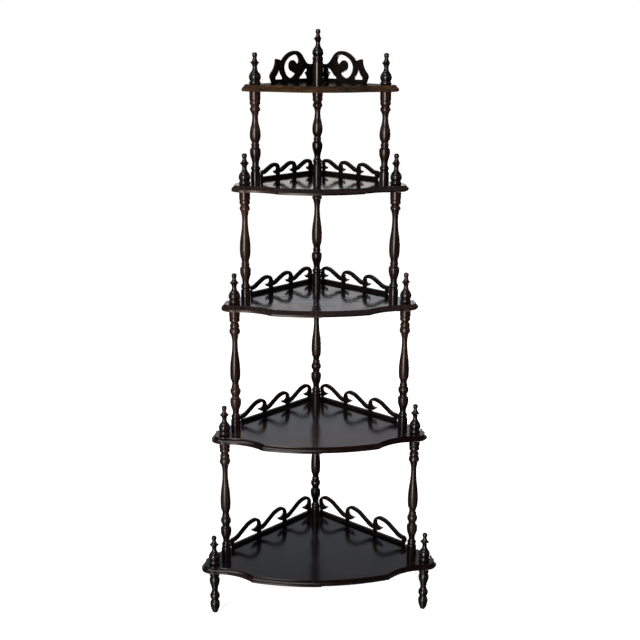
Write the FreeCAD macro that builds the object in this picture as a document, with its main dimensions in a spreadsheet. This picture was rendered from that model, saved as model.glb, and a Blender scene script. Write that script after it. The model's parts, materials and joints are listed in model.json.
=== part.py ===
"""A five-tier corner etagere of turned and fretted wood, standing on three turned legs.

The model stands on z = 0 with its front towards -Y.  The origin is the centre of the rectangle that
the shelves cover, on the floor.  The rear spindles stand one above the other on the corner line, and
the front spindles step outwards from the top tier to the bottom one.  Lengths are in millimetres.
"""
import FreeCAD, Part
import math
import os
import Sketcher

SHELF_NAMES = ("top", "second", "third", "fourth", "bottom")
SHELF_COUNT = len(SHELF_NAMES)
TIER_NAMES = ("top", "upper", "lower", "bottom")
SIDES = {"left": -1, "right": 1}

# One value for the whole piece of furniture.
SIZES = {
    "shelf_thickness": 16.0,
    "leg_height": 128.0,
    "crest_post_height": 57.5,
    "crest_post_diameter": 29.5,
    "crest_post_groove_drop": 3.5,      # from the top of the post to the middle of its groove
    "crest_post_groove_width": 3.0,
    "crest_post_groove_diameter": 26.0,
    "lobe_radius": 34.0,                # round end of a shelf about its front post
    "back_overhang": 42.0,              # from the line of the posts out to a shelf's straight back edge
    "back_straight_margin": 5.5,        # back edge that stays straight beyond the end of its gallery
    "lip_inset": 7.0,                   # moulding: top edge, set back from the widest line
    "lip_height": 3.0,
    "nose_depth": 10.3,                 # moulding: widest line, below the top face
    "nose_inset": 5.0,                  # moulding: bottom edge, set back from the widest line
    "gallery_offset": 31.0,             # from the line of the posts to the front of a gallery
    "gallery_thickness": 8.0,
    "rail_height": 8.5,
    "scroll_stroke": 9.3,
    "stem_width": 9.5,
    "first_wave_setback": 15.0,         # the first wave starts this far behind the rear post
    "wave_end_width": 13.0,             # rounded end beyond the last wave
    "wave_end_undercut": 8.0,           # from the rounded end back to the end of the rail
    "crest_length": 145.5,
    "crest_height": 81.0,
    "joining_screw_diameter": 6.0,
    "joining_screw_reach": 25.0,        # length that a joining screw has in each turned piece
    "crest_dowel_reach": 15.0,          # length that the crest dowel has in the crest post
    "foot_screw_diameter": 5.0,
    "foot_screw_reach": 30.0,
    "foot_screw_head_diameter": 10.0,
    "foot_screw_head_height": 3.5,
    "foot_screw_head_recess": 0.5,
    "pin_diameter": 4.0,
    "pin_reach_down": 8.0,              # length that a gallery pin has in the shelf
    "pin_reach_up": 12.0,               # length that it has in the gallery
    "bore_play": 0.2,                   # round a screw or pin, on the radius
    "bore_end_play": 0.5,               # beyond the end of a screw or pin
}

# One value for each shelf, top to bottom.
SHELF_SIZES = {
    "post_step": (166.0, 28.0, 29.1, 29.6, 31.4),       # front post, outwards from the one above it
    "cove_width": (75.0, 85.0, 95.1, 100.7, 103.1),     # from the front post in to the sharp point
    "cove_depth": (26.0, 37.0, 43.0, 50.5, 51.0),       # from the front of the lobe to that point
    "bow_rise": (19.0, 21.0, 19.0, 25.0, 30.4),         # middle of the front edge, beyond the points
}

# One value for each tier between shelves, top to bottom.
TIER_SIZES = {
    "tier_height": (233.0, 288.5, 333.5, 340.0),
}

# One value for each wave gallery: they stand on all the shelves but the top one.
GALLERY_SIZES = {
    "wave_length": (64.0, 78.0, 91.5, 104.5),
    "wave_height": (41.5, 45.5, 50.5, 59.0),
    "wave_valley": (24.5, 24.6, 23.0, 26.5),
    "hook_radius": (17.0, 20.0, 23.5, 25.0),
}
WAVES = 3

# The shape of one wave: shares of its length, height and stroke.
WAVE_SHARES = {
    "brow_along": 0.53,             # of the length: where the crest turns into the long slope
    "brow_up": 0.76,                # of the fall from the crest to the valley, above the valley
    "slope_end_along": 0.79,        # of the length: where the slope turns into the valley
    "slope_end_up": 0.245,          # of the fall, above the valley
    "underside_back": 0.53,         # of the stroke: the slope's underside, back from its upper side
    "underside_down": 0.85,         # of the stroke: and below it
    "valley_depth": 1.1,            # of the stroke: the underside of the valley, below its upper side
    "valley_reach": 0.95,           # of the length: where that underside starts
    "spur_top": 0.47,               # of the height: where the spur leaves the stem
    "spur_tip_along": 0.325,        # of the length
    "spur_tip_up": 0.5,             # of the height
    "spur_foot_up": 0.27,           # of the height: where the spur comes back to the stem
    "end_nose_up": 0.65,            # of the valley's height: the tip of the rounded end
}

# Bulges of the curved edges: the tangent of a quarter of the arc's angle, positive to the left.
QUARTER_BULGE = math.tan(math.radians(90 / 4))
BROW_BULGE, SLOPE_BULGE, EYE_BULGE, SPUR_BULGE, SPUR_FOOT_BULGE = 0.115, 0.13, 0.12, 0.2, 0.35
END_TOP_BULGE, END_FOOT_BULGE = 0.3, 0.1
LIP_COVE_BULGE = 0.15

MOULDING_WASTE = 3.0                # how far the moulding's cutter reaches beyond the board
BACK_EDGE_ANGLE = 45.0              # between a back edge and the front

# Turned pieces: each row is a cut of the lathe, with its length along the piece, its diameter at the
# end of that length (None where it stays the same), and the edge that leads there.
LINE, SWELL, COVE, OGEE = "line", "swell", "cove", "ogee"
TURNINGS = {
    # From the floor up to the underside of the bottom shelf, but for the collar, which takes the rest.
    "leg": (
        ("toe", None, 13.6, LINE), ("ball", 26.6, 26.8, SWELL), ("ankle", 11.9, 19.8, OGEE),
        ("bead", 10.5, 27.3, SWELL), ("neck", 16.0, 17.3, OGEE), ("bell", 31.0, 28.6, OGEE),
        ("hip", 9.0, 24.0, OGEE), ("collar", 4.0, 27.0, SWELL),
    ),
    # From the shelf up.
    "finial": (
        ("seat", None, 27.0, LINE), ("base", 4.9, 30.0, SWELL), ("groove", 5.0, 25.3, OGEE),
        ("bulb", 8.8, 30.5, SWELL), ("neck", 24.3, 12.0, OGEE), ("ring", 11.5, 24.4, COVE),
        ("throat", 12.5, 10.3, COVE), ("button", 7.5, 13.6, SWELL), ("crown", 5.0, 4.0, SWELL),
    ),
    # The two patterns of spindle, from the foot up and from the head down.
    "slim_foot": (
        ("seat", None, 25.6, LINE), ("block", 29.0, None, LINE), ("groove", 4.0, 20.8, COVE),
        ("bead", 5.5, 24.7, SWELL), ("neck", 10.2, 17.5, OGEE), ("bell", 31.3, 28.8, OGEE),
        ("rim", 5.0, None, LINE), ("hollow", 9.5, 20.0, OGEE), ("ring", 3.5, 22.3, SWELL),
        ("waist", 5.0, 19.2, OGEE),
    ),
    "slim_head": (
        ("seat", None, 29.0, LINE), ("block", 21.0, None, LINE), ("groove", 4.0, 27.0, COVE),
        ("ring", 5.5, 28.2, SWELL), ("hollow", 7.5, 22.0, OGEE), ("bead", 8.0, 27.5, SWELL),
        ("fillet", 4.5, 23.0, SWELL),
    ),
    "full_foot": (
        ("seat", None, 26.6, LINE), ("block", 30.0, None, LINE), ("groove", 4.0, 22.0, COVE),
        ("bead", 6.0, 24.2, SWELL), ("neck", 10.0, 17.0, OGEE), ("bell", 30.0, 29.0, OGEE),
        ("rim", 8.0, None, LINE), ("hollow", 7.0, 19.3, OGEE), ("tray", 6.0, 21.5, LINE),
        ("globe", 10.5, 28.0, SWELL), ("cap", 9.0, 20.3, SWELL), ("ring", 4.5, 21.2, SWELL),
        ("waist", 5.5, 17.8, OGEE),
    ),
    "full_head": (
        ("seat", None, 28.8, LINE), ("block", 20.0, None, LINE), ("groove", 4.0, 26.8, COVE),
        ("ring", 5.0, 28.0, SWELL), ("hollow", 8.0, 20.0, OGEE), ("bead", 8.5, 26.0, SWELL),
        ("fillet", 4.0, 23.3, SWELL), ("globe", 10.5, 28.8, SWELL), ("cap", 7.0, 22.4, SWELL),
    ),
}
# The vase between the head and the foot of a spindle takes the length that they leave: how far down
# that length its neck, its belly and its hip lie, and their diameters.
VASES = {
    "slim": (("neck", 0.177, 15.6, COVE), ("belly", 0.745, 28.9, OGEE), ("hip", 0.90, 25.3, SWELL)),
    "full": (("neck", 0.159, 15.0, COVE), ("belly", 0.767, 27.9, OGEE), ("hip", 0.905, 25.2, SWELL)),
}
PATTERN_OF_TIER = ("slim", "slim", "full", "full")

# The crest panel's outlines as drawn at full size: how far out from the rear post, how far above the
# shelf, and the bulge of the edge that leads to the point.
CREST_OUTER = (
    (1.0, 46.0, 0), (15.0, 55.0, 0.20), (26.5, 69.0, 0), (52.0, 81.0, -0.20), (103.0, 54.5, -0.24),
    (124.5, 61.0, -0.10), (138.5, 28.0, 0.21), (145.5, 16.0, -0.15), (138.5, 0.0, 0),
)
CREST_HOLES = (
    # The scroll: round the inside of the C and back round the ball of its curl.
    ((36.0, 55.5, -0.75), (53.0, 71.5, -0.41), (82.0, 61.0, -0.14), (96.0, 40.0, -0.20),
     (86.5, 18.0, -0.17), (71.5, 10.0, -0.12), (49.0, 21.5, -0.17), (61.5, 27.5, 0),
     (73.5, 42.5, 0.36), (60.5, 57.0, 0.42), (50.5, 50.0, 0.12)),
    # The gap beside the post, with its barb.
    ((3.0, 8.5, 0), (11.5, 22.5, -0.20), (3.0, 28.0, 0), (9.0, 36.5, -0.45), (18.5, 30.0, -0.10),
     (30.5, 16.5, 0), (38.0, 10.5, -0.20), (36.0, 8.5, -0.40)),
    # The gap in the outer bracket.
    ((98.0, 8.5, 0), (99.0, 15.0, -0.25), (109.5, 35.0, 0.18), (115.5, 35.5, -0.80),
     (128.5, 15.0, 0.16), (127.5, 8.5, -0.35)),
)
CREST_PINS = (-12.0, 48.0, 92.5)
CREST_DRAWN_LENGTH = max(out for out, _, _ in CREST_OUTER)
CREST_DRAWN_HEIGHT = max(up for _, up, _ in CREST_OUTER)
CREST_VALLEY_HEIGHT = CREST_OUTER[0][1]


# The document, its sheet of sizes and the sizes as expressions.
doc = FreeCAD.newDocument("Etagere")
sheet = doc.addObject("Spreadsheet::Sheet", "Sizes")


def all_sizes():
    """Every driving size by its name."""
    sizes = dict(SIZES)
    for group in (SHELF_SIZES, TIER_SIZES, GALLERY_SIZES):
        for name, values in group.items():
            first = SHELF_COUNT - len(values) if group is GALLERY_SIZES else 0
            for offset, value in enumerate(values):
                sizes[f"{name}_{first + offset + 1}"] = value
    for turning, rows in TURNINGS.items():
        for name, length, diameter, _ in rows:
            if length is not None:
                sizes[f"{turning}_{name}_length"] = length
            if diameter is not None:
                sizes[f"{turning}_{name}_diameter"] = diameter
    for pattern, rows in VASES.items():
        for name, share, diameter, _ in rows:
            sizes[f"{pattern}_vase_{name}_share"] = share
            sizes[f"{pattern}_vase_{name}_diameter"] = diameter
    for name, share in WAVE_SHARES.items():
        sizes[f"wave_{name}_share"] = share
    return sizes


VALUES = all_sizes()
for row, (alias, value) in enumerate(VALUES.items(), start=1):
    sheet.set(f"A{row}", alias.replace("_", " "))
    sheet.set(f"B{row}", str(value))
    sheet.setAlias(f"B{row}", alias)
doc.recompute()


class Size:
    """A length that knows its value and the expression that gives it from the sheet."""

    def __init__(self, value, text=None):
        self.value = value
        self.text = repr(value) if text is None else text

    def join(self, sign, other, value):
        return Size(value, f"({self.text} {sign} {as_size(other).text})")

    def __add__(self, other):
        if self.text == "0":
            return as_size(other)
        return self.join("+", other, self.value + as_size(other).value)

    def __sub__(self, other):
        return self.join("-", other, self.value - as_size(other).value)

    def __mul__(self, other):
        return self.join("*", other, self.value * as_size(other).value)

    def __truediv__(self, other):
        return self.join("/", other, self.value / as_size(other).value)


def as_size(value):
    return value if isinstance(value, Size) else Size(value)


def size(name, number=None):
    """The sheet's size of this name, or the numbered one of a row of sizes."""
    alias = name if number is None else f"{name}_{number}"
    return Size(VALUES[alias], f"Sizes.{alias}")


def total(sizes):
    """The sum of some sizes."""
    result = NOTHING
    for one in sizes:
        result = result + one
    return result


def root(value):
    return Size(math.sqrt(value.value), f"sqrt({value.text})")


def negative(value):
    return Size(-value.value, f"(0 - {value.text})")


NOTHING = Size(0, "0")
DIAGONAL = Size(math.sqrt(0.5), "sqrt(0.5)")


def origin_plane(body, role):
    return next(plane for plane in body.Origin.OriginFeatures if plane.Role == role)


class Drawing:
    """A sketch drawn with a pen, whose points and arcs are held by constraints bound to the sizes."""

    START, END, CENTRE = 1, 2, 3
    AXIS_ACROSS, AXIS_UP = -1, -2

    def __init__(self, body, name, role):
        self.sketch = body.newObject("Sketcher::SketchObject", name)
        self.sketch.AttachmentSupport = [(origin_plane(body, role), "")]
        self.sketch.MapMode = "FlatFace"
        self.edges = []
        self.constraints = []
        self.bound = []

    def hold(self, kind, place, held):
        """Hold a distance, radius or diameter at a size."""
        self.bound.append((len(self.constraints), held.text))
        self.constraints.append(Sketcher.Constraint(kind, *place, held.value))

    def hold_point(self, edge, end, point):
        """Hold one end of an edge at a point of the sketch."""
        axes = (("DistanceX", self.AXIS_UP), ("DistanceY", self.AXIS_ACROSS))
        for (kind, axis), distance in zip(axes, point):
            if distance is NOTHING:
                self.constraints.append(Sketcher.Constraint("PointOnObject", edge, end, axis))
            else:
                self.hold(kind, (-1, self.START, edge, end), distance)

    def move_to(self, x, y):
        """Start a new outline."""
        self.first = None
        self.here = self.origin = (x, y)

    def add(self, edge, forward, target, pinned=True, closing=False, smooth=False):
        """Add an edge from here to the target and hold its ends."""
        number = len(self.edges)
        start, end = (self.START, self.END) if forward else (self.END, self.START)
        self.edges.append(edge)
        if self.first is None:
            self.first = (number, start)
            self.hold_point(number, start, self.here)
        else:
            joint = "Tangent" if smooth else "Coincident"
            self.constraints.append(Sketcher.Constraint(joint, *self.last, number, start))
        if closing:
            self.constraints.append(Sketcher.Constraint("Coincident", number, end, *self.first))
        elif pinned:
            self.hold_point(number, end, target)
        self.last = (number, end)
        self.here = target
        return number

    def line_to(self, x, y, closing=False):
        ends = [FreeCAD.Vector(px.value, py.value, 0) for px, py in (self.here, (x, y))]
        self.add(Part.LineSegment(*ends), True, (x, y), closing=closing)

    def arc(self, x, y, radius, turning_left):
        """The arc from here to a point, with its centre to the left or the right of the way."""
        x0, y0 = (coordinate.value for coordinate in self.here)
        chord = math.hypot(x - x0, y - y0)
        rise = math.sqrt(max(radius * radius - chord * chord / 4, 0)) / chord
        side = 1 if turning_left else -1
        centre_x = (x0 + x) / 2 - side * rise * (y - y0)
        centre_y = (y0 + y) / 2 + side * rise * (x - x0)
        angles = [math.atan2(y0 - centre_y, x0 - centre_x), math.atan2(y - centre_y, x - centre_x)]
        circle = Part.Circle(FreeCAD.Vector(centre_x, centre_y, 0), FreeCAD.Vector(0, 0, 1), radius)
        return Part.ArcOfCircle(circle, *(angles if turning_left else reversed(angles)))

    def arc_to(self, x, y, radius, turning_left, closing=False):
        """An arc of a held radius."""
        edge = self.arc(x.value, y.value, radius.value, turning_left)
        number = self.add(edge, turning_left, (x, y), closing=closing)
        self.hold("Radius", (number,), radius)

    def bulge_to(self, x, y, bulge, closing=False):
        """A straight edge, or an arc with a bulge: the tangent of a quarter of the arc's angle."""
        if bulge == 0:
            self.line_to(x, y, closing)
            return
        across, up = x - self.here[0], y - self.here[1]
        chord = root(across * across + up * up)
        radius = chord * ((1 + bulge * bulge) / (4 * abs(bulge)))
        self.arc_to(x, y, radius, bulge > 0, closing)

    def outline(self, points):
        """A closed outline through (x, y, bulge of the edge that leads to the point)."""
        self.move_to(*points[0][:2])
        for x, y, bulge in points[1:]:
            self.bulge_to(x, y, bulge)
        self.bulge_to(*points[0], closing=True)

    def level_arc_to(self, x, y, convex, level_at_start, pinned=True, smooth=False):
        """An arc that runs along the axis of a turned piece at one of its ends."""
        across, up = x.value - self.here[0].value, y.value - self.here[1].value
        radius = (across * across + up * up) / (2 * abs(across))
        edge = self.arc(x.value, y.value, radius, convex)
        number = self.add(edge, convex, (x, y), pinned, smooth=smooth)
        level_end = self.START if convex == level_at_start else self.END
        self.constraints.append(
            Sketcher.Constraint("Horizontal", number, self.CENTRE, number, level_end))
        return number

    def turn_to(self, x, y, edge):
        """One cut of a turned outline, drawn upwards."""
        narrowing = x.value < self.here[0].value
        if edge == LINE:
            self.line_to(x, y)
        elif edge == SWELL:
            self.level_arc_to(x, y, True, narrowing)
        elif edge == COVE:
            self.level_arc_to(x, y, False, not narrowing)
        else:
            middle = ((self.here[0] + x) / 2, (self.here[1] + y) / 2)
            lower = self.level_arc_to(*middle, narrowing, True, pinned=False)
            upper = self.level_arc_to(x, y, not narrowing, False, smooth=True)
            self.constraints.append(Sketcher.Constraint("Equal", lower, upper))

    def circle(self, x, y, radius):
        number = len(self.edges)
        place = FreeCAD.Vector(x.value, y.value, 0)
        self.edges.append(Part.Circle(place, FreeCAD.Vector(0, 0, 1), radius.value))
        self.hold_point(number, self.CENTRE, (x, y))
        self.hold("Radius", (number,), radius)

    def finish(self):
        self.sketch.addGeometry(self.edges, False)
        self.sketch.addConstraint(self.constraints)
        for number, text in self.bound:
            self.sketch.setExpression(f"Constraints[{number}]", text)
        return self.sketch


def new_body(label, x=NOTHING, y=NOTHING, z=NOTHING, turn=0):
    """A body with its own label, placed on the sheet's sizes and turned by degrees about the upright."""
    body = doc.addObject("PartDesign::Body", label)
    body.Label = label
    for axis, distance in (("x", x), ("y", y), ("z", z)):
        if distance is not NOTHING:
            body.setExpression(f".Placement.Base.{axis}", distance.text)
    body.Placement.Rotation = FreeCAD.Rotation(FreeCAD.Vector(0, 0, 1), turn)
    NODES.append(body)
    return body


def feature(body, kind, name, drawing, **settings):
    """A feature of a body that is made from a drawing, with its sizes bound to the sheet."""
    made = body.newObject(f"PartDesign::{kind}", name)
    made.Profile = drawing.finish()
    for setting, value in settings.items():
        if isinstance(value, Size):
            made.setExpression(setting, value.text)
        else:
            setattr(made, setting, value)
    return made


NODES = []
CUTS = []

# Where things stand.
THICKNESS = size("shelf_thickness")


def post_out(shelf):
    """How far the front post of a shelf stands to the side of the middle and in front of the rear."""
    return total(size("post_step", number) for number in range(1, shelf + 1))


def cove_point(shelf):
    """The sharp point between the cove and the bow: its distances sideways and forwards."""
    out = post_out(shelf)
    return (out - size("cove_width", shelf),
            out + size("lobe_radius") + size("cove_depth", shelf))


def front_reach(shelf):
    """The middle of a shelf's front edge, in front of the rear posts."""
    return cove_point(shelf)[1] + size("bow_rise", shelf)


def back_corner():
    """The rear corner of every shelf, behind the rear posts."""
    return size("back_overhang") / DIAGONAL


REAR_Y = (front_reach(SHELF_COUNT) - back_corner()) / 2

# Bores: a radius, or a radius and a depth.
BORE_PLAY = size("bore_play")
BORE_END_PLAY = size("bore_end_play")
JOINING_BORE = size("joining_screw_diameter") / 2 + BORE_PLAY
PIN_BORE = size("pin_diameter") / 2 + BORE_PLAY
FOOT_SCREW_BORE = size("foot_screw_diameter") / 2 + BORE_PLAY
SCREW_BORE = (JOINING_BORE, size("joining_screw_reach") + BORE_END_PLAY)
FOOT_SCREW_PILOT = (FOOT_SCREW_BORE, size("foot_screw_reach") + BORE_END_PLAY)

# The left board of a pair runs on behind the end of the right one.
BUTT_END = size("gallery_offset") + size("gallery_thickness")


def shelf_bottom(shelf):
    """The height of a shelf's underside above the floor."""
    tiers = (size("tier_height", tier) for tier in range(shelf, SHELF_COUNT))
    return size("leg_height") + total(tiers) + THICKNESS * (SHELF_COUNT - shelf)


def shelf_top(shelf):
    return shelf_bottom(shelf) + THICKNESS


def post_place(out, side):
    """Where a front post stands that is so far out."""
    return (out if side > 0 else negative(out)), REAR_Y - out


# Shelves.
def gallery_end(shelf):
    """How far a shelf's gallery or crest panel reaches from the rear post along the back."""
    if shelf == 1:
        return size("crest_length")
    waves = size("wave_length", shelf) * WAVES
    return waves + size("wave_end_width") - size("first_wave_setback")


def shelf_outline(shelf):
    """Half a shelf's outline, from the rear corner round the right lobe to the middle of the front.

    Each row is a point, relative to the rear post, and the arc that leads to it: its radius and
    whether it turns left.
    """
    out, radius = post_out(shelf), size("lobe_radius")
    straight = gallery_end(shelf) + size("back_straight_margin")
    overhang = size("back_overhang")
    point_x, point_y = cove_point(shelf)
    width, depth, rise = (size(name, shelf) for name in ("cove_width", "cove_depth", "bow_rise"))
    cove_radius = (width * width + depth * depth) / (depth * 2)
    bow_radius = (point_x * point_x + rise * rise) / (rise * 2)
    return (
        ((NOTHING, back_corner()), None),
        (((straight + overhang) * DIAGONAL, (overhang - straight) * DIAGONAL), None),
        ((out + radius * DIAGONAL, radius * DIAGONAL - out), None),
        ((out, negative(out + radius)), (radius, False)),
        ((point_x, negative(point_y)), (cove_radius, True)),
        ((NOTHING, negative(front_reach(shelf))), (bow_radius, False)),
    )


def draw_route(drawing, route, closing=False):
    for number, ((x, y), arc) in enumerate(route):
        last = closing and number == len(route) - 1
        if arc is None:
            drawing.line_to(x, y, closing=last)
        else:
            drawing.arc_to(x, y, *arc, closing=last)


def board(body, shelf):
    """The flat board of a shelf."""
    half = shelf_outline(shelf)
    drawing = Drawing(body, "Outline", "XY_Plane")
    drawing.move_to(*half[0][0])
    draw_route(drawing, half[1:])
    # The left half goes back the same way, mirrored.
    back = []
    for (point, _), (_, arc) in zip(reversed(half[:-1]), reversed(half[1:])):
        x, y = point
        back.append(((x if x is NOTHING else negative(x), y), arc))
    draw_route(drawing, back, closing=True)
    feature(body, "Pad", "Board", drawing, Length=THICKNESS)


def moulding(body, shelf):
    """The moulded front edge: a lip, a sloping cove and a rounded nose, run from lobe to lobe."""
    route = Drawing(body, "EdgeRoute", "XY_Plane")
    half = shelf_outline(shelf)
    middle_first = list(reversed(half[2:]))
    route.move_to(*middle_first[0][0])
    for (_, (radius, turning_left)), (point, _) in zip(middle_first, middle_first[1:]):
        route.arc_to(*point, radius, not turning_left)
    front = negative(front_reach(shelf))
    lip = front + size("lip_inset")
    nose = THICKNESS - size("nose_depth")
    outside, above, below = front - MOULDING_WASTE, THICKNESS + MOULDING_WASTE, Size(-MOULDING_WASTE)
    cutter = Drawing(body, "Moulding", "YZ_Plane")
    cutter.outline((
        (lip, above, 0),
        (lip, THICKNESS - size("lip_height"), 0),
        (front, nose, LIP_COVE_BULGE),
        (front + size("nose_inset"), NOTHING, QUARTER_BULGE),
        (front + size("nose_inset"), below, 0),
        (outside, below, 0),
        (outside, above, 0),
    ))
    spine = route.finish()
    profile = cutter.finish()
    doc.recompute()
    pipe = body.newObject("PartDesign::SubtractivePipe", "RightMoulding")
    pipe.Profile = profile
    pipe.Spine = (spine, [])
    pipe.Transition = "Right corner"
    doc.recompute()
    mirrored = body.newObject("PartDesign::Mirrored", "LeftMoulding")
    mirrored.Originals = [pipe]
    mirrored.MirrorPlane = (origin_plane(body, "YZ_Plane"), [""])
    body.Tip = mirrored
    CUTS.append(pipe)


def pin_places(shelf):
    """How far out along the back the gallery pins of a shelf stand, from the rear post."""
    if shelf == 1:
        return [Size(place) * (size("crest_length") / CREST_DRAWN_LENGTH) for place in CREST_PINS]
    first = size("stem_width") / 2 - size("first_wave_setback")
    return [first + size("wave_length", shelf) * wave for wave in range(WAVES)]


def holes(body, name, places, radius, depth, from_top=False):
    """Round holes that go up from the underside of a body, or down from the top of a shelf."""
    drawing = Drawing(body, f"{name}Places", "XY_Plane")
    for x, y in places:
        drawing.circle(x, y, radius)
    if from_top:
        drawing.sketch.setExpression(".AttachmentOffset.Base.z", THICKNESS.text)
    CUTS.append(feature(body, "Pocket", name, drawing, Length=depth, Reversed=not from_top))


def inner_feet(shelf):
    """Where the front spindles of the tier above stand on a shelf, from the rear post."""
    out = post_out(shelf - 1)
    return [(out, negative(out)), (negative(out), negative(out))]


def shelf_body(shelf):
    """A shelf with its moulded edge and the holes for what is fixed through it."""
    body = new_body(f"shelf_{SHELF_NAMES[shelf - 1]}", y=REAR_Y, z=shelf_bottom(shelf))
    board(body, shelf)
    moulding(body, shelf)
    out = post_out(shelf)
    posts = [(out, negative(out)), (negative(out), negative(out)), (NOTHING, NOTHING)]
    holes(body, "JoiningScrewHoles", posts, JOINING_BORE, THICKNESS)
    middle = size("gallery_offset") + size("gallery_thickness") / 2
    pins = []
    for along in pin_places(shelf):
        across = (along + middle) * DIAGONAL
        pins += [(across, (middle - along) * DIAGONAL), (negative(across), (middle - along) * DIAGONAL)]
    holes(body, "PinHoles", pins, PIN_BORE, size("pin_reach_down") + BORE_END_PLAY, from_top=True)
    if shelf > 1:
        feet = inner_feet(shelf)
        holes(body, "FootScrewHoles", feet, FOOT_SCREW_BORE, THICKNESS)
        head = size("foot_screw_head_diameter") / 2 + BORE_PLAY
        sunk = size("foot_screw_head_height") + size("foot_screw_head_recess")
        holes(body, "FootScrewHeads", feet, head, sunk)


# Turned pieces.
def cuts(turning, total_length=None):
    """The cuts of a turning, each as its distance from the start, its radius and its edge.

    From a total length they are counted backwards.
    """
    reach = NOTHING
    placed = []
    for name, length, diameter, edge in TURNINGS[turning]:
        if length is not None:
            reach = reach + size(f"{turning}_{name}_length")
        if diameter is not None:
            radius = size(f"{turning}_{name}_diameter") / 2
        placed.append((reach if total_length is None else total_length - reach, radius, edge))
    return placed


def spindle_cuts(pattern, height):
    """The cuts of a whole spindle from the foot up: foot, vase and head."""
    foot = cuts(f"{pattern}_foot")
    head = cuts(f"{pattern}_head", height)
    waist_height, vase_top = foot[-1][0], head[-1][0]
    vase = []
    for name, _, _, edge in VASES[pattern]:
        drop = (vase_top - waist_height) * size(f"{pattern}_vase_{name}_share")
        vase.append((vase_top - drop, size(f"{pattern}_vase_{name}_diameter") / 2, edge))
    downwards = head + vase
    upwards = [(*downwards[-1][:2], COVE)]
    for (at, radius, _), (_, _, edge) in zip(reversed(downwards[:-1]), reversed(downwards[1:])):
        upwards.append((at, radius, edge))
    return foot + upwards


def turned_body(label, placed_cuts, x, y, z, bottom_bore=None, top_bore=None):
    """A turned piece from its cuts, with a blind bore (radius, depth) in its ends."""
    body = new_body(label, x, y, z)
    drawing = Drawing(body, "Profile", "XZ_Plane")
    if bottom_bore is None:
        drawing.move_to(NOTHING, NOTHING)
    else:
        radius, depth = bottom_bore
        drawing.move_to(NOTHING, depth)
        drawing.line_to(radius, depth)
        drawing.line_to(radius, NOTHING)
    start, *others = placed_cuts
    drawing.line_to(start[1], NOTHING)
    for at, radius, edge in others:
        drawing.turn_to(radius, at, edge)
    top = others[-1][0]
    if top_bore is None:
        drawing.line_to(NOTHING, top)
    else:
        radius, depth = top_bore
        drawing.line_to(radius, top)
        drawing.line_to(radius, top - depth)
        drawing.line_to(NOTHING, top - depth)
    drawing.line_to(*drawing.origin, closing=True)
    axis = (drawing.sketch, ["V_Axis"])
    feature(body, "Revolution", "Turning", drawing, ReferenceAxis=axis, Angle=360)


def finial(label, x, y, z):
    turned_body(label, cuts("finial"), x, y, z, bottom_bore=SCREW_BORE)


def leg(label, x, y):
    """A leg, whose collar takes the length that its other cuts leave."""
    placed = cuts("leg")
    placed.append((size("leg_height"), placed[-1][1], LINE))
    turned_body(label, placed, x, y, NOTHING, top_bore=SCREW_BORE)


def crest_post():
    """The plain round post on the top shelf, with a groove near its top."""
    height, radius = size("crest_post_height"), size("crest_post_diameter") / 2
    groove = height - size("crest_post_groove_drop")
    half_width = size("crest_post_groove_width") / 2
    placed = [(NOTHING, radius, LINE), (groove - half_width, radius, LINE),
              (groove, size("crest_post_groove_diameter") / 2, LINE),
              (groove + half_width, radius, LINE), (height, radius, LINE)]
    dowel_bore = (JOINING_BORE, size("crest_dowel_reach") + BORE_END_PLAY)
    turned_body("crest_post", placed, NOTHING, REAR_Y, shelf_top(1), SCREW_BORE, dowel_bore)


# Fretted boards.
def fretted_body(label, shelf, side, inner_end):
    """A body for an upright board on a shelf's back edge, and the end it starts from.

    It is drawn with x along the back edge from its inner end, and it is thick towards +Y.  The left
    board is turned half way round, so that its drawn face is its back.
    """
    offset = size("gallery_offset")
    drawn_face = offset if side > 0 else offset + size("gallery_thickness")
    x = (drawn_face - inner_end) * DIAGONAL
    y = REAR_Y + (drawn_face + inner_end) * DIAGONAL
    turn = -BACK_EDGE_ANGLE if side > 0 else BACK_EDGE_ANGLE - 180
    return new_body(label, x if side > 0 else negative(x), y, shelf_top(shelf), turn)


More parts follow.
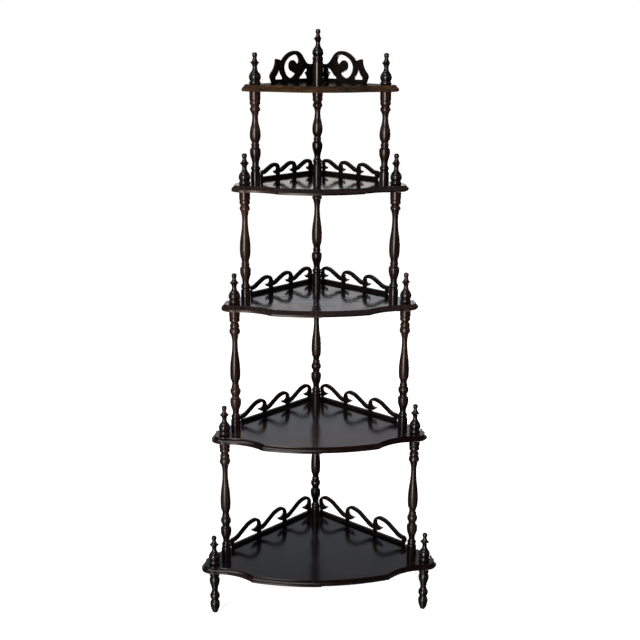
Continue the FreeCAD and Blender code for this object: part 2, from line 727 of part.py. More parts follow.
def gallery(shelf, side_name):
    """A rail with running waves, each a hooked crest that runs down into the next stem."""
    side = SIDES[side_name]
    inner_end = size("gallery_offset") if side > 0 else BUTT_END
    body = fretted_body(f"gallery_{side_name}_{SHELF_NAMES[shelf - 1]}", shelf, side, inner_end)
    first = inner_end - size("first_wave_setback")
    length, valley = size("wave_length", shelf), size("wave_valley", shelf)
    rail_height, thickness = size("rail_height"), size("gallery_thickness")
    end = first + length * WAVES
    rail_end = end + size("wave_end_width") - size("wave_end_undercut")

    rail = Drawing(body, "RailOutline", "XZ_Plane")
    rail.outline((
        (NOTHING, NOTHING, 0),
        (NOTHING, rail_height, 0),
        (rail_end, rail_height, 0),
        (rail_end, NOTHING, 0),
    ))
    feature(body, "Pad", "Rail", rail, Length=thickness, Reversed=True)

    wave = Drawing(body, "WaveOutline", "XZ_Plane")
    wave.outline([(first + x, y, bulge) for x, y, bulge in wave_outline(shelf)])
    pad = feature(body, "Pad", "Wave", wave, Length=thickness, Reversed=True)

    waves = body.newObject("PartDesign::LinearPattern", "Waves")
    waves.Originals = [pad]
    waves.Direction = (wave.sketch, ["H_Axis"])
    waves.Occurrences = WAVES
    waves.setExpression("Length", (length * (WAVES - 1)).text)
    body.Tip = waves

    tail = Drawing(body, "EndOutline", "XZ_Plane")
    tail.outline((
        (end, NOTHING, 0),
        (end, valley - size("scroll_stroke") / 2, 0),
        (rail_end, valley, 0),
        (end + size("wave_end_width"), valley * size("wave_end_nose_up_share"), -END_TOP_BULGE),
        (rail_end, NOTHING, -END_FOOT_BULGE),
    ))
    feature(body, "Pad", "RoundedEnd", tail, Length=thickness, Reversed=True)
    pins = [(inner_end + along, thickness / 2) for along in pin_places(shelf)]
    holes(body, "PinHoles", pins, PIN_BORE, size("pin_reach_up") + BORE_END_PLAY)


def wave_outline(shelf):
    """One wave, from the left side of its stem, above the shelf."""
    length, height = size("wave_length", shelf), size("wave_height", shelf)
    valley, hook = size("wave_valley", shelf), size("hook_radius", shelf)
    stroke, stem, rail_middle = size("scroll_stroke"), size("stem_width"), size("rail_height") / 2
    share = {name: size(f"wave_{name}_share") for name in WAVE_SHARES}
    fall = height - valley
    brow = (length * share["brow_along"], valley + fall * share["brow_up"])
    slope_end = (length * share["slope_end_along"], valley + fall * share["slope_end_up"])
    back, down = stroke * share["underside_back"], stroke * share["underside_down"]
    under_valley = valley - stroke * share["valley_depth"]
    spur_top = height * share["spur_top"]
    eye = (height - stroke - spur_top) / 2
    return (
        (NOTHING, rail_middle, 0),
        (NOTHING, height - hook, 0),
        (hook, height, -QUARTER_BULGE),
        (*brow, -BROW_BULGE),
        (*slope_end, 0),
        (length, valley, SLOPE_BULGE),
        (length + stem / 2, valley, 0),
        (length + stem / 2, under_valley, 0),
        (length * share["valley_reach"], under_valley, 0),
        (slope_end[0] - back, slope_end[1] - down, -SLOPE_BULGE),
        (brow[0] - back, brow[1] - down, 0),
        (stem + eye, height - stroke, EYE_BULGE),
        (stem, height - stroke - eye, QUARTER_BULGE),
        (stem + eye, spur_top, QUARTER_BULGE),
        (length * share["spur_tip_along"], height * share["spur_tip_up"], SPUR_BULGE),
        (stem, height * share["spur_foot_up"], -SPUR_FOOT_BULGE),
        (stem, rail_middle, 0),
    )


def crest_panel(side_name):
    """A scrolled board on the back of the top shelf, cut from one outline with three openings."""
    side = SIDES[side_name]
    inner_end = size("gallery_offset") if side > 0 else BUTT_END
    body = fretted_body(f"crest_panel_{side_name}", 1, side, inner_end)
    along = size("crest_length") / CREST_DRAWN_LENGTH
    up = size("crest_height") / CREST_DRAWN_HEIGHT

    def placed(points):
        return [(inner_end + along * x, up * z if z else NOTHING, bulge) for x, z, bulge in points]

    panel = Drawing(body, "PanelOutline", "XZ_Plane")
    panel.outline([(NOTHING, NOTHING, 0), (NOTHING, up * CREST_VALLEY_HEIGHT, 0), *placed(CREST_OUTER)])
    for hole in CREST_HOLES:
        panel.outline(placed(hole))
    thickness = size("gallery_thickness")
    feature(body, "Pad", "Panel", panel, Length=thickness, Reversed=True)
    pins = [(inner_end + place, thickness / 2) for place in pin_places(1)]
    holes(body, "PinHoles", pins, PIN_BORE, size("pin_reach_up") + BORE_END_PLAY)


# Fasteners.
def rod(x, y, z, radius, length):
    """A round rod that stands at a place."""
    made = doc.addObject("Part::Cylinder", "Rod")
    made.setExpression("Radius", radius.text)
    made.setExpression("Height", length.text)
    for axis, distance in (("x", x), ("y", y), ("z", z)):
        if distance is not NOTHING:
            made.setExpression(f".Placement.Base.{axis}", distance.text)
    return made


def together(label, kind, rods):
    """Several identical fasteners as one node."""
    made = doc.addObject(kind, label)
    made.Label = label
    setattr(made, "Shapes" if kind == "Part::MultiFuse" else "Links", rods)
    NODES.append(made)


def joining_screws():
    """A double-ended screw through every shelf at each of its three posts."""
    reach = size("joining_screw_reach")
    rods = []
    for shelf in range(1, SHELF_COUNT + 1):
        out = post_out(shelf)
        for x, y in (post_place(out, -1), post_place(out, 1), (NOTHING, REAR_Y)):
            rods.append(rod(x, y, shelf_bottom(shelf) - reach, size("joining_screw_diameter") / 2,
                            THICKNESS + reach * 2))
    together("joining_screws", "Part::Compound", rods)


def foot_screws():
    """Headed screws up through the shelves into the front spindles that stand inside the lobes."""
    rods = []
    for shelf in range(2, SHELF_COUNT + 1):
        start = shelf_bottom(shelf) + size("foot_screw_head_recess")
        head_height = size("foot_screw_head_height")
        end = shelf_top(shelf) + size("foot_screw_reach")
        for side in SIDES.values():
            x, y = post_place(post_out(shelf - 1), side)
            rods.append(rod(x, y, start, size("foot_screw_head_diameter") / 2, head_height))
            rods.append(rod(x, y, start + head_height, size("foot_screw_diameter") / 2,
                            end - start - head_height))
    together("foot_screws", "Part::MultiFuse", rods)


def gallery_pins():
    """Plain pins between each shelf and the boards that stand on its back edges."""
    middle = size("gallery_offset") + size("gallery_thickness") / 2
    rods = []
    for shelf in range(1, SHELF_COUNT + 1):
        for along in pin_places(shelf):
            x = (along + middle) * DIAGONAL
            y = REAR_Y + (middle - along) * DIAGONAL
            for across in (negative(x), x):
                rods.append(rod(across, y, shelf_top(shelf) - size("pin_reach_down"),
                                size("pin_diameter") / 2, size("pin_reach_down") + size("pin_reach_up")))
    together("gallery_pins", "Part::Compound", rods)


def crest_dowel():
    reach = size("crest_dowel_reach")
    made = rod(NOTHING, REAR_Y, shelf_top(1) + size("crest_post_height") - reach,
               size("joining_screw_diameter") / 2, reach + size("joining_screw_reach"))
    made.Label = "crest_dowel"
    NODES.append(made)


def build():
    for shelf in range(1, SHELF_COUNT + 1):
        shelf_body(shelf)
    for tier, pattern in enumerate(PATTERN_OF_TIER, start=1):
        height = size("tier_height", tier)
        foot = shelf_top(tier + 1)
        placed = spindle_cuts(pattern, height)
        for side_name, side in SIDES.items():
            x, y = post_place(post_out(tier), side)
            turned_body(f"spindle_{side_name}_{TIER_NAMES[tier - 1]}", placed, x, y, foot,
                        FOOT_SCREW_PILOT, SCREW_BORE)
        turned_body(f"spindle_rear_{TIER_NAMES[tier - 1]}", placed, NOTHING, REAR_Y, foot,
                    SCREW_BORE, SCREW_BORE)
    for side_name, side in SIDES.items():
        for shelf in range(1, SHELF_COUNT + 1):
            x, y = post_place(post_out(shelf), side)
            finial(f"finial_{side_name}_{SHELF_NAMES[shelf - 1]}", x, y, shelf_top(shelf))
        leg(f"leg_{side_name}", *post_place(post_out(SHELF_COUNT), side))
        for shelf in range(2, SHELF_COUNT + 1):
            gallery(shelf, side_name)
        crest_panel(side_name)
    leg("leg_rear", NOTHING, REAR_Y)
    crest_post()
    finial("finial_rear", NOTHING, REAR_Y, shelf_top(1) + size("crest_post_height"))
    joining_screws()
    foot_screws()
    gallery_pins()
    crest_dowel()


def check():
    """Stop if an object failed, a cut removed nothing, or a node is not sound."""
    for thing in doc.Objects:
        if "Invalid" in thing.State or "Error" in thing.State:
            raise RuntimeError(f"{thing.Label} failed: {thing.State}")
    for cut in CUTS:
        if not cut.Shape.Volume < cut.BaseFeature.Shape.Volume:
            raise RuntimeError(f"{cut.Label} removes nothing")
    for node in NODES:
        if node.Shape.isNull() or not node.Shape.isValid():
            raise RuntimeError(f"{node.Label} is not a valid shape")


build()
doc.recompute()
check()
os.makedirs("parts", exist_ok=True)
for node in NODES:
    node.Shape.exportStep(f"parts/{node.Label}.step")
    print(node.Label, len(node.Shape.Solids), round(node.Shape.Volume))
print(len(NODES), "nodes")
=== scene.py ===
"""The looks of the corner etagere: dark mahogany lacquer on turned, moulded and fretted wood."""

import json
import math

import bpy
from mathutils import Matrix, Vector


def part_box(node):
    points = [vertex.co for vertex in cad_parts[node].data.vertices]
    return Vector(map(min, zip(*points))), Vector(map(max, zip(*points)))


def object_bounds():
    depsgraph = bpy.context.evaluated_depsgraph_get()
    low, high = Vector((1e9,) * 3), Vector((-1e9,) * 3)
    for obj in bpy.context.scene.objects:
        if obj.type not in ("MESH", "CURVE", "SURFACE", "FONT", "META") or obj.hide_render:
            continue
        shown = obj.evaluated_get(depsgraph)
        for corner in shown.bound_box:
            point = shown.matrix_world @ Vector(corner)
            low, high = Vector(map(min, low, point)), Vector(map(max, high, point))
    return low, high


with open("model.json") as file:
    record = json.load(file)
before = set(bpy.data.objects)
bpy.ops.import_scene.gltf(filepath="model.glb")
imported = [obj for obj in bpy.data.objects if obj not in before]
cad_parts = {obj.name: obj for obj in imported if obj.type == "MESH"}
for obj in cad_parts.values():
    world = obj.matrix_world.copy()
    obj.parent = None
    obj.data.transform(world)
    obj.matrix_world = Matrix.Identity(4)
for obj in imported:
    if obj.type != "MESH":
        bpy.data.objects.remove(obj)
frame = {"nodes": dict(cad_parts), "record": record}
CAD_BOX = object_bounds()
OBJECT_TOP = CAD_BOX[1][2]
SHELVES = ("shelf_bottom", "shelf_fourth", "shelf_third", "shelf_second", "shelf_top")

# The camera, in the frame of the part.
CAMERA_PLACE = Vector((-0.134, -2.9074, 1.5411))
CAMERA_DOWN = math.radians(14.476)      # below the level
CAMERA_TURN = math.radians(2.674)       # to the right of +Y
CAMERA_ROLL = math.radians(0.356)       # anticlockwise, so that the picture leans clockwise
SENSOR_WIDTH = 36.0
LENS = 63.515

# The patterns in the wood and in its lacquer.
GRAIN = {"Scale": 160.0, "Detail": 6.0, "Roughness": 0.62, "Distortion": 0.8}
BANDS = {"Scale": 34.0, "Detail": 3.0, "Distortion": 1.6}
DRIFT = {"Scale": 7.0, "Detail": 2.0}
SMEARS = {"Scale": 18.0, "Detail": 5.0}
PATCHES = {"Scale": 45.0, "Detail": 4.0}
PORES = {"Scale": 900.0, "Detail": 2.0}
WAVES = {"Scale": 75.0, "Detail": 3.0, "Distortion": 2.0}
STRETCH = 0.05                          # of a pattern along the grain
FIGURE_RANGE = (1.15, 1.85)             # grain, bands and drift together, from darkest to lightest
SMEAR_RANGE = (0.8, 1.3)                # shares of the roughness
WORN_EDGES = (0.53, 0.65)               # pointiness where the rub begins and where it is full
RUB = 0.8
PORE_DEPTH = {"Strength": 0.02, "Distance": 0.0002}
WAVE_RIDGES = (0.56, 0.68)              # the part of the waves that stands out
WAVE_LEVEL = (0.84, 0.05, 0.4)          # height of the most rippled shelf, half width and softness
SHELF_RIPPLE = 0.00012                  # height of the waves in a shelf's polish

# Colours by figure, dark to light.
# The first is black lacquer that the turned pieces take as painted shade, near the floor and at their feet.
SHADED_LACQUER = ((0.0, (0.002, 0.002, 0.0024)), (0.5, (0.004, 0.0038, 0.004)), (1.0, (0.012, 0.009, 0.0085)))
DARK_EDGE = ((0.0, (0.003, 0.0018, 0.0016)), (0.5, (0.0075, 0.0032, 0.0025)), (1.0, (0.018, 0.0075, 0.005)))
GOLDEN_EDGE = ((0.1, (0.01, 0.0045, 0.0018)), (0.45, (0.034, 0.014, 0.005)), (0.9, (0.1, 0.045, 0.014)))
MAROON = ((0.0, (0.006, 0.0022, 0.002)), (0.5, (0.018, 0.0065, 0.005)), (1.0, (0.05, 0.018, 0.012)))

# The turned pieces. A foot is black and glossy up to one height above its board, and like the rest of the
# piece from another height on. The black is painted shade where the post meets its board, reaching higher
# on the rear posts between the galleries; the gloss is in the roughness.
FRONT_FOOT = (0.045, 0.075)
REAR_FOOT = (0.08, 0.14)
BELOW_BOARD = 0.02                      # where the rise to a foot begins
REAR_START = (0.08, 0.14)               # Y from the front posts' feet to those of the rear posts, with their higher painted shade
FLOOR_SHADE_LEVELS = (0.0, 0.9)                   # heights over which the painted shade near the floor lifts
UNSHADED_SHARE = (0.1, 1.0)                 # shares of the wood's colour at those heights, the rest being painted shade
FOOT_UNSHADED_SHARE = 0.25                        # of that, at a foot, where painted shade covers the rest
FOOT_ROUGHNESS = 0.2                    # share of the roughness, at a foot
TURNED_RUB = 0.5                        # share of the rub
# How dull the turned pieces are by height, as shares of their roughness.
VASE_DULLNESS = ((0.0, 0.4), (0.2, 0.45), (0.3, 0.6), (0.7, 0.6), (0.95, 0.5), (1.2, 0.5), (1.32, 0.6),
                 (1.54, 0.5))

# The moulded edges of the shelves.
FLAT = (0.97, 0.995)                    # size of the normal's Z, from the moulding to the flat top
GOLDEN_LEVEL = (1.2, 1.35)              # heights from the dark edges to the golden one of the top shelf
MATTE_LEVEL = (0.6, 0.8)                # heights from the glossy edges to the matte ones
LOWER_BAND = (-0.05, 0.2)               # the normal's Z, from the glossy lower band to the matte slope
LIP = (0.001, 0.0025, 0.001)            # depth of the lip's middle, half width and softness
EDGE_ROUGHNESS = (0.2, 0.9)
SOFT_LEVEL = (0.55, 0.75)               # heights from the softer polish of the lower shelves to the other
SOFT_SHARE = (1.8, 1.0)                 # shares of the roughness at those heights
MAROON_BAND = (0.05, 0.02)              # half width and softness around the fourth shelf
MAROON_FRONT = (0.03, -0.13)            # Y from none of it to all of it

# What the lacquer mirrors. Heights are sines of the elevation. Each soft box has an azimuth from the
# front in degrees (negative on the left), half its width and the softness of its sides, its strength,
# and the share of that strength by height, in red, green and blue where it has a colour.
WHITE = (1.0, 1.0, 1.0)
NONE = (0.0, 0.0, 0.0)
SOFT_BOXES = (
    (-24.0, 7.0, 5.0, 11.0, ((-0.5, (0.1,) * 3), (-0.46, (0.16,) * 3), (-0.4, (0.24,) * 3),
                             (-0.3, (0.4, 0.35, 0.31)), (-0.2, (0.8, 0.74, 0.69)), (-0.08, (1.0, 0.88, 0.76)),
                             (0.3, WHITE), (0.45, NONE))),
    (156.0, 6.0, 5.0, 7.0, ((-0.5, WHITE), (0.3, WHITE), (0.45, NONE))),
    (-50.0, 20.0, 14.0, 0.3, ((-0.5, WHITE), (0.3, WHITE), (0.5, NONE))),
    (-45.0, 34.0, 15.0, 3.2, ((0.66, NONE), (0.74, WHITE), (0.84, WHITE), (0.9, NONE))),
)
BACKDROP = ((0.0, (0.03,) * 3), (0.07, (0.1,) * 3), (0.13, (1.0, 0.96, 0.89)), (0.22, (0.87, 0.87, 0.9)),
            (0.32, (0.56, 0.58, 0.64)), (0.42, (0.38, 0.41, 0.47)), (0.5, (0.12, 0.12, 0.13)),
            (0.6, (0.03,) * 3))
BEHIND = {"From Min": 0.45, "From Max": 0.8, "To Min": 0.25}     # how the backdrop fades off to the sides
STUDIO_BLACK = (0.02, 0.02, 0.02, 1.0)

ROOM_LIGHT = 0.16
PAPER = (0.8, 0.8, 0.8, 1.0)
FLOOR_SIZE = 60.0
FLOOR_LIFT = (0.8, 0.9)                 # near the object, and beyond its shadow
SHADOW_REACH = (0.45, 1.3)
# Name, place, height aimed at, width, height and power.
LAMPS = (
    ("left_key", (-1.9, -2.5, 1.9), 1.0, 1.2, 1.8, 80),
    ("back_fill", (1.9, 2.5, 1.9), 1.0, 1.2, 1.8, 50),
    ("right_fill", (2.2, -2.4, 1.8), 0.9, 1.4, 1.8, 14),
)


def make_camera():
    forward = Vector((math.sin(CAMERA_TURN) * math.cos(CAMERA_DOWN),
                      math.cos(CAMERA_TURN) * math.cos(CAMERA_DOWN),
                      -math.sin(CAMERA_DOWN)))
    level_right = Vector((math.cos(CAMERA_TURN), -math.sin(CAMERA_TURN), 0))
    level_up = level_right.cross(forward)
    right = level_right * math.cos(CAMERA_ROLL) + level_up * math.sin(CAMERA_ROLL)
    up = right.cross(forward)
    turn = Matrix((right, up, -forward)).transposed().to_4x4()
    data = bpy.data.cameras.new("camera")
    data.sensor_width = SENSOR_WIDTH
    data.lens = LENS
    camera = bpy.data.objects.new("camera", data)
    camera.matrix_world = Matrix.Translation(CAMERA_PLACE) @ turn
    bpy.context.scene.collection.objects.link(camera)
    bpy.context.scene.camera = camera


class Nodes:
    """A material's or a world's node tree, with short calls to add nodes and join them."""

    def __init__(self, tree):
        self.tree = tree
        self.tree.nodes.clear()

    def put(self, socket, value):
        """Link another node's output to a socket, or set the socket to a plain value."""
        if isinstance(value, bpy.types.NodeSocket):
            self.tree.links.new(value, socket)
        else:
            socket.default_value = value

    def add(self, kind, inputs=None, **settings):
        node = self.tree.nodes.new(f"ShaderNode{kind}")
        for name, value in settings.items():
            setattr(node, name, value)
        for name, value in (inputs or {}).items():
            self.put(node.inputs[name], value)
        return node

    def noise(self, place, pattern):
        return self.add("TexNoise", {"Vector": place, **pattern}).outputs["Fac"]

    def ramp(self, factor, stops):
        node = self.add("ValToRGB", {"Fac": factor})
        elements = node.color_ramp.elements
        while len(elements) < len(stops):
            elements.new(0.5)
        for element, (place, colour) in zip(elements, stops):
            element.position = place
            element.color = (*colour, 1.0)
        return node.outputs["Color"]

    def by_height(self, height, stops):
        """A number that follows (height, number) stops, in metres above the floor."""
        colours = [(level / OBJECT_TOP, (value,) * 3) for level, value in stops]
        return self.ramp(self.scaled(height, 0.0, OBJECT_TOP), colours)

    def between(self, value, low, high):
        """A value from 0..1 mapped to low..high."""
        inputs = {"Value": value, "To Min": low, "To Max": high}
        return self.add("MapRange", inputs).outputs["Result"]

    def scaled(self, value, low, high):
        """A value from low..high mapped to 0..1."""
        return self.add("MapRange", {"Value": value, "From Min": low, "From Max": high}).outputs["Result"]

    def window(self, value, middle, half_width, softness):
        """1 near a middle value, 0 far from it, with soft edges."""
        away = self.math("ABSOLUTE", self.math("SUBTRACT", value, middle))
        inputs = {"Value": away, "From Min": half_width, "From Max": half_width + softness,
                  "To Min": 1.0, "To Max": 0.0}
        return self.add("MapRange", inputs, interpolation_type="SMOOTHSTEP").outputs["Result"]

    def math(self, operation, *values):
        return self.add("Math", dict(enumerate(values)), operation=operation).outputs[0]

    def times(self, first, second):
        return self.math("MULTIPLY", first, second)

    def plus(self, first, second):
        return self.math("ADD", first, second)

    # The Mix node has a pair of inputs for each type: 2 and 3 for numbers, 6 and 7 for colours.
    def mix_numbers(self, factor, first, second):
        return self.add("Mix", {0: factor, 2: first, 3: second}, data_type="FLOAT").outputs[0]

    def mix(self, factor, first, second):
        return self.add("Mix", {0: factor, 6: first, 7: second}, data_type="RGBA").outputs[2]


def lacquered_wood(name, grain_axis, colours, gloss, specular, worn, changed=None, ripple=0.0):
    """Mahogany under dark lacquer: grain along one axis, drifting colour, smears and rubbed edges."""
    material = bpy.data.materials.new(name)
    material.use_nodes = True
    nodes = Nodes(material.node_tree)
    place = nodes.add("TexCoord").outputs["Object"]
    stretch = tuple(STRETCH if axis == grain_axis else 1.0 for axis in range(3))
    along = nodes.add("Mapping", {"Vector": place, "Scale": stretch}).outputs["Vector"]
    lines = nodes.plus(nodes.noise(along, GRAIN), nodes.noise(along, BANDS))
    figure = nodes.scaled(nodes.plus(lines, nodes.noise(place, DRIFT)), *FIGURE_RANGE)
    wood = nodes.ramp(figure, tuple(zip((0.0, 0.5, 1.0), colours)))
    rough = nodes.between(nodes.noise(place, SMEARS), *(gloss * share for share in SMEAR_RANGE))
    edge = nodes.scaled(nodes.add("NewGeometry").outputs["Pointiness"], *WORN_EDGES)
    rub = nodes.times(nodes.times(edge, nodes.noise(place, PATCHES)), RUB)
    if changed:
        wood, rough, rub = changed(nodes, place, figure, wood, rough, rub)
    colour = nodes.mix(rub, wood, (*worn, 1.0))
    normal = nodes.add("Bump", {"Height": nodes.noise(along, PORES), **PORE_DEPTH}).outputs["Normal"]
    if ripple:
        level = nodes.add("SeparateXYZ", {"Vector": place}).outputs["Z"]
        ridge = nodes.scaled(nodes.noise(along, WAVES), *WAVE_RIDGES)
        ridge = nodes.times(ridge, nodes.window(level, *WAVE_LEVEL))
        normal = nodes.add("Bump", {"Height": ridge, "Strength": 1.0, "Distance": ripple,
                                    "Normal": normal}).outputs["Normal"]
    surface = nodes.add("BsdfPrincipled", {"Base Color": colour, "Roughness": rough, "Normal": normal,
                                           "Specular IOR Level": specular})
    nodes.add("OutputMaterial", {"Surface": surface.outputs["BSDF"]})
    return material


def at_feet(nodes, height, black, clear):
    """1 from each board up to one height above it, 0 from another height on."""
    stops = [(0.0, 0.0)]
    for shelf in SHELVES:
        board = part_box(shelf)[1][2]
        stops += [(board - BELOW_BOARD, 0.0), (board, 1.0), (board + black, 1.0), (board + clear, 0.0)]
    return nodes.by_height(height, stops)


def turned_finish_and_shade(nodes, place, figure, wood, rough, rub):
    """The lacquer is glossier at the foot of each post and black there, which is painted shade, and it is
    blacker towards the floor, which is painted shade too. How dull it is elsewhere goes by height."""
    where = nodes.add("SeparateXYZ", {"Vector": place})
    height = where.outputs["Z"]
    at_rear = nodes.scaled(where.outputs["Y"], *REAR_START)
    foot = nodes.mix_numbers(at_rear, at_feet(nodes, height, *FRONT_FOOT), at_feet(nodes, height, *REAR_FOOT))
    # Painted shade: the wood's colour gives way to black lacquer towards the floor and at each foot.
    shown = nodes.between(nodes.scaled(height, *FLOOR_SHADE_LEVELS), *UNSHADED_SHARE)
    shown = nodes.times(shown, nodes.between(foot, 1.0, FOOT_UNSHADED_SHARE))
    rough = nodes.times(rough, nodes.by_height(height, VASE_DULLNESS))
    rough = nodes.times(rough, nodes.between(foot, 1.0, FOOT_ROUGHNESS))
    rub = nodes.times(rub, nodes.times(shown, TURNED_RUB))
    return nodes.mix(shown, nodes.ramp(figure, SHADED_LACQUER), wood), rough, rub


def shelf_finish(nodes, place, figure, wood, rough, rub):
    """The top is polished, softer on the two lower shelves, and maroon at the front of the fourth. The edges
    of the second and third shelves are matte but for their lower band. The top shelf's edge is golden brown
    and matte all over."""
    facing = nodes.add("SeparateXYZ", {"Vector": nodes.add("NewGeometry").outputs["Normal"]}).outputs["Z"]
    flat = nodes.scaled(nodes.math("ABSOLUTE", facing), *FLAT)
    where = nodes.add("SeparateXYZ", {"Vector": place})
    height = where.outputs["Z"]
    golden = nodes.scaled(height, *GOLDEN_LEVEL)
    edge_colour = nodes.mix(golden, nodes.ramp(figure, DARK_EDGE), nodes.ramp(figure, GOLDEN_EDGE))
    depth, half_width, softness = LIP
    lips = [nodes.window(height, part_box(shelf)[1][2] - depth, half_width, softness)
            for shelf in ("shelf_second", "shelf_third")]
    matte = nodes.plus(nodes.plus(*lips), nodes.plus(golden, nodes.scaled(facing, *LOWER_BAND)))
    matte = nodes.times(nodes.scaled(height, *MATTE_LEVEL), nodes.scaled(matte, 0.0, 1.0))
    edge_rough = nodes.between(matte, *EDGE_ROUGHNESS)
    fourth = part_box("shelf_fourth")[1][2]
    reddish = nodes.times(nodes.window(height, fourth, *MAROON_BAND),
                          nodes.scaled(where.outputs["Y"], *MAROON_FRONT))
    top_colour = nodes.mix(reddish, wood, nodes.ramp(figure, MAROON))
    top_rough = nodes.times(rough, nodes.between(nodes.scaled(height, *SOFT_LEVEL), *SOFT_SHARE))
    return (nodes.mix(flat, edge_colour, top_colour), nodes.mix_numbers(flat, edge_rough, top_rough),
            nodes.times(rub, nodes.math("SUBTRACT", 1.0, flat)))


def plain_metal(name):
    """Zinc-plated steel of the hidden screws."""
    material = bpy.data.materials.new(name)
    material.use_nodes = True
    nodes = Nodes(material.node_tree)
    blotch = nodes.noise(nodes.add("TexCoord").outputs["Object"], {"Scale": 220.0, "Detail": 4.0})
    colour = nodes.ramp(blotch, ((0.3, (0.42, 0.42, 0.44)), (0.7, (0.66, 0.66, 0.68))))
    surface = nodes.add("BsdfPrincipled", {"Base Color": colour, "Metallic": 1.0,
                                           "Roughness": nodes.between(blotch, 0.25, 0.5)})
    nodes.add("OutputMaterial", {"Surface": surface.outputs["BSDF"]})
    return material


def bare_wood(name):
    """Unfinished beech of the pins and the dowel."""
    material = bpy.data.materials.new(name)
    material.use_nodes = True
    nodes = Nodes(material.node_tree)
    place = nodes.add("TexCoord").outputs["Object"]
    along = nodes.add("Mapping", {"Vector": place, "Scale": (1.0, 1.0, 0.08)}).outputs["Vector"]
    grain = nodes.noise(along, {"Scale": 600.0, "Detail": 5.0})
    colour = nodes.ramp(grain, ((0.3, (0.42, 0.27, 0.15)), (0.7, (0.62, 0.45, 0.28))))
    surface = nodes.add("BsdfPrincipled", {"Base Color": colour, "Roughness": 0.6})
    nodes.add("OutputMaterial", {"Surface": surface.outputs["BSDF"]})
    return material


def dress():
    """Put a material on each slot by its name."""
    shelves = lacquered_wood(
        "shelf_lacquer", grain_axis=0, gloss=0.085, specular=0.5, worn=(0.08, 0.032, 0.015),
        colours=((0.0015, 0.0012, 0.0014), (0.004, 0.0028, 0.0028), (0.02, 0.0105, 0.009)),
        changed=shelf_finish, ripple=SHELF_RIPPLE)
    turnings = lacquered_wood(
        "turned_lacquer", grain_axis=2, gloss=0.38, specular=0.5, worn=(0.05, 0.02, 0.012),
        colours=((0.007, 0.003, 0.0024), (0.022, 0.0085, 0.0055), (0.065, 0.024, 0.0135)),
        changed=turned_finish_and_shade)
    fretwork = lacquered_wood(
        "fretwork_lacquer", grain_axis=0, gloss=0.35, specular=0.2, worn=(0.013, 0.008, 0.006),
        colours=((0.0015, 0.0015, 0.0015), (0.003, 0.0026, 0.0024), (0.008, 0.0055, 0.0045)))
    by_slot = {"shelf_lacquer": shelves, "turned_lacquer": turnings, "fretwork_lacquer": fretwork,
               "screw_steel": plain_metal("screw_steel"), "pin_wood": bare_wood("pin_wood")}
    for part in frame["record"]["subparts"]:
        node = frame["nodes"][part["node"]]
        for slot in node.material_slots:
            slot.material = by_slot[part["material_slot"]]


def make_floor():
    """A floor of white paper that keeps the shadow; a mirror image looks past it into the studio."""
    bpy.ops.mesh.primitive_plane_add(size=FLOOR_SIZE)
    floor = bpy.context.object
    floor.name = "floor"
    material = bpy.data.materials.new("floor_paper")
    material.use_nodes = True
    nodes = Nodes(material.node_tree)
    path = nodes.add("LightPath")
    paper = nodes.add("BsdfDiffuse", {"Color": PAPER}).outputs["BSDF"]
    place = nodes.add("TexCoord").outputs["Object"]
    distance = nodes.add("VectorMath", {0: place}, operation="LENGTH").outputs["Value"]
    lift = nodes.between(nodes.scaled(distance, *SHADOW_REACH), *FLOOR_LIFT)
    seen = nodes.times(path.outputs["Is Camera Ray"], lift)
    glow = nodes.add("Emission", {"Color": (*WHITE, 1.0), "Strength": seen}).outputs["Emission"]
    lifted = nodes.add("AddShader", {0: paper, 1: glow}).outputs["Shader"]
    past = nodes.add("BsdfTransparent").outputs["BSDF"]
    final = nodes.add("MixShader", {0: path.outputs["Is Glossy Ray"], 1: lifted, 2: past})
    nodes.add("OutputMaterial", {"Surface": final.outputs["Shader"]})
    floor.data.materials.append(material)


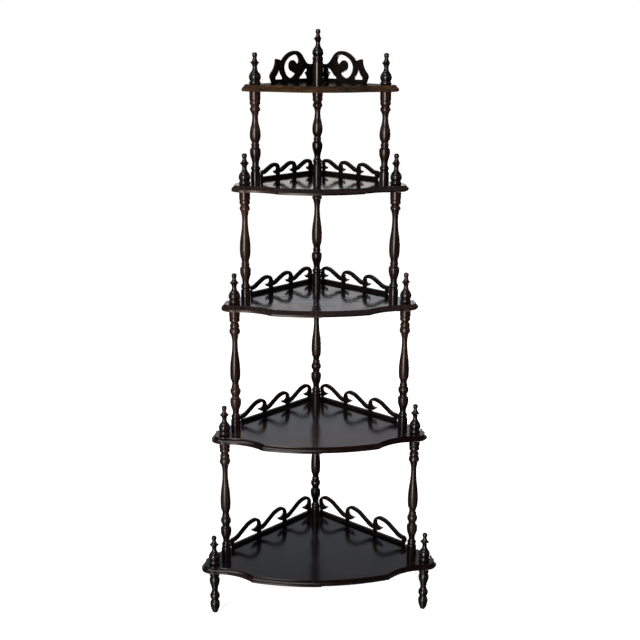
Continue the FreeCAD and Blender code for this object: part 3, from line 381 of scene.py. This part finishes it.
def studio_mirror(nodes):
    """What glossy wood mirrors: the lit backdrop, which fades upwards, and the soft boxes."""
    way = nodes.add("SeparateXYZ", {"Vector": nodes.add("TexCoord").outputs["Generated"]})
    turn = nodes.math("ARCTAN2", way.outputs["X"], nodes.times(way.outputs["Y"], -1.0))
    height = way.outputs["Z"]
    behind = nodes.add("MapRange", {"Value": way.outputs["Y"], **BEHIND}).outputs["Result"]
    lit = nodes.mix(behind, STUDIO_BLACK, nodes.ramp(height, BACKDROP))
    for azimuth, half_width, soft, strength, shares in SOFT_BOXES:
        box = nodes.window(turn, math.radians(azimuth), math.radians(half_width), math.radians(soft))
        power = nodes.add("CombineXYZ", dict.fromkeys("XYZ", nodes.times(box, strength))).outputs["Vector"]
        colour = nodes.ramp(nodes.scaled(height, -1.0, 1.0), [((z + 1) / 2, share) for z, share in shares])
        lit = nodes.add("VectorMath", {0: colour, 1: power, 2: lit},
                        operation="MULTIPLY_ADD").outputs["Vector"]
    return lit


def make_world():
    """Even soft light, white for the camera, and a studio of its own for mirror images."""
    world = bpy.data.worlds.new("studio")
    world.use_nodes = True
    # Light samples of the world would miss the part that only glossy rays see, so there are none.
    world.cycles.sampling_method = "NONE"
    bpy.context.scene.world = world
    nodes = Nodes(world.node_tree)
    path = nodes.add("LightPath")
    mirrored = nodes.add("Background", {"Color": studio_mirror(nodes)}).outputs["Background"]
    room = nodes.add("Background", {"Color": (*WHITE, 1.0), "Strength": ROOM_LIGHT}).outputs["Background"]
    white = nodes.add("Background", {"Color": (*WHITE, 1.0), "Strength": 1.0}).outputs["Background"]
    lit = nodes.add("MixShader", {0: path.outputs["Is Glossy Ray"], 1: room, 2: mirrored})
    final = nodes.add("MixShader", {0: path.outputs["Is Camera Ray"], 1: lit.outputs["Shader"], 2: white})
    nodes.add("OutputWorld", {"Surface": final.outputs["Shader"]})


def make_lamp(name, place, aim, width, height, power):
    """A soft box that lights the wood but isn't mirrored in it."""
    data = bpy.data.lights.new(name, "AREA")
    data.shape = "RECTANGLE"
    data.size = width
    data.size_y = height
    data.energy = power
    lamp = bpy.data.objects.new(name, data)
    lamp.location = place
    lamp.rotation_euler = (Vector((0, 0, aim)) - Vector(place)).to_track_quat("-Z", "Y").to_euler()
    lamp.visible_camera = False
    lamp.visible_glossy = False
    bpy.context.scene.collection.objects.link(lamp)


make_camera()
make_floor()
make_world()
for lamp in LAMPS:
    make_lamp(*lamp)
dress()
bpy.context.scene.view_settings.view_transform = "Standard"
